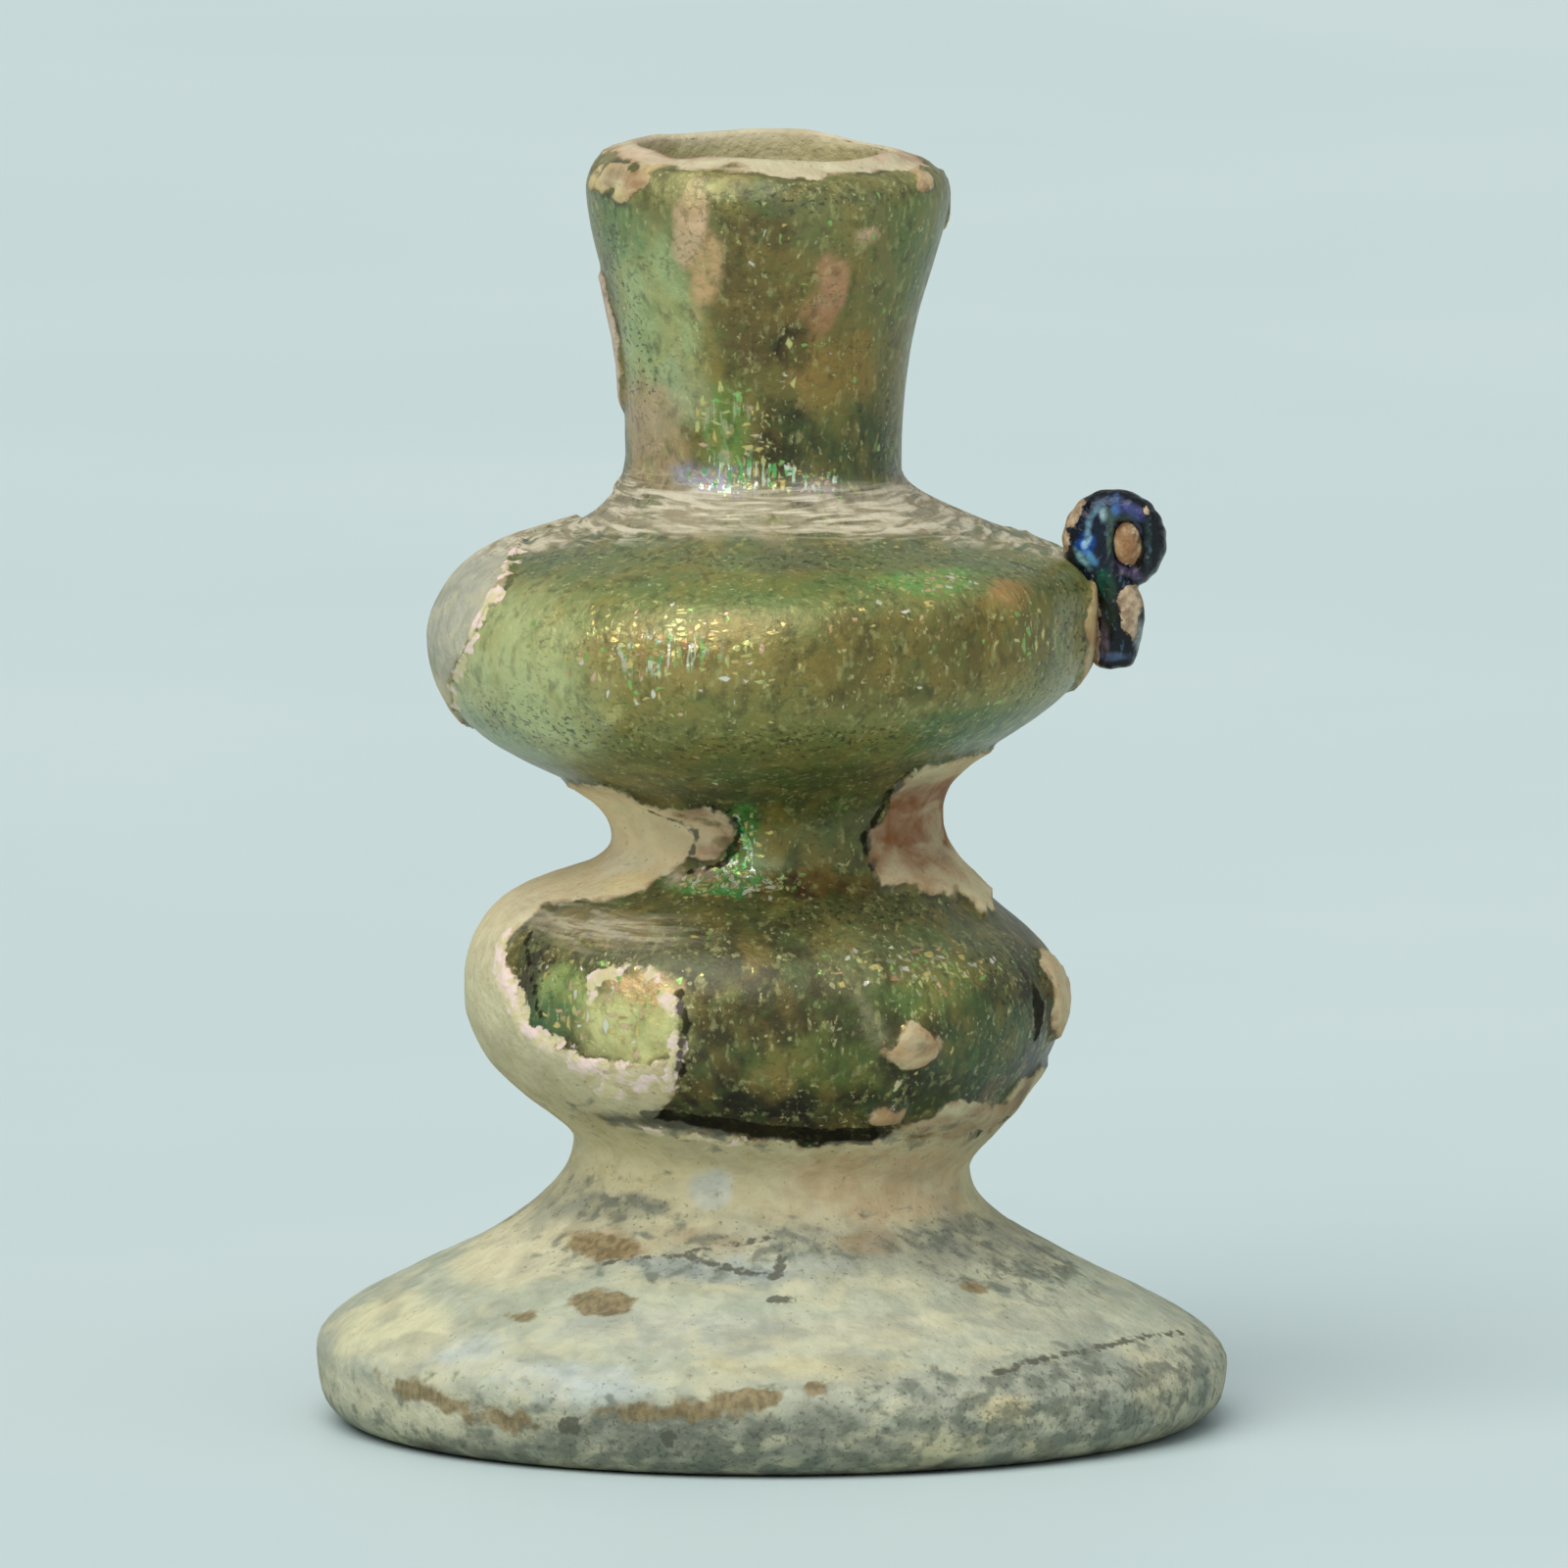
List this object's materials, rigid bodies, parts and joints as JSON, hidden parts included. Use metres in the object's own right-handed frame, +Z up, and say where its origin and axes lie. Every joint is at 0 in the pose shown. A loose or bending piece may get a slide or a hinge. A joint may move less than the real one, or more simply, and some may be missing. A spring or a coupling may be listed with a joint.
{
  "type": "ancient blown glass flask",
  "caption": "Small weathered blown glass flask with a funnel neck, two squeezed bulges, a wide bell foot and the curled remains of one handle.",
  "frame": {"origin": "middle of the base, on the surface that the flask stands on", "axes": "+Z up through the mouth, +X towards the side that carries the handle's remains"},
  "size_m": [0.0424, 0.0424, 0.0601],
  "materials": {
    "weathered_glass": "green blown glass under a flaking cream weathering crust, with gold, green and pink iridescence where the crust is lost",
    "blue_glass": "dark blue trailed glass, glossy and streaked, with patches of beige crust"
  },
  "bodies": {
    "root": {"flask_body": "weathered_glass", "handle_remains": "blue_glass"}
  },
  "joints": []
}
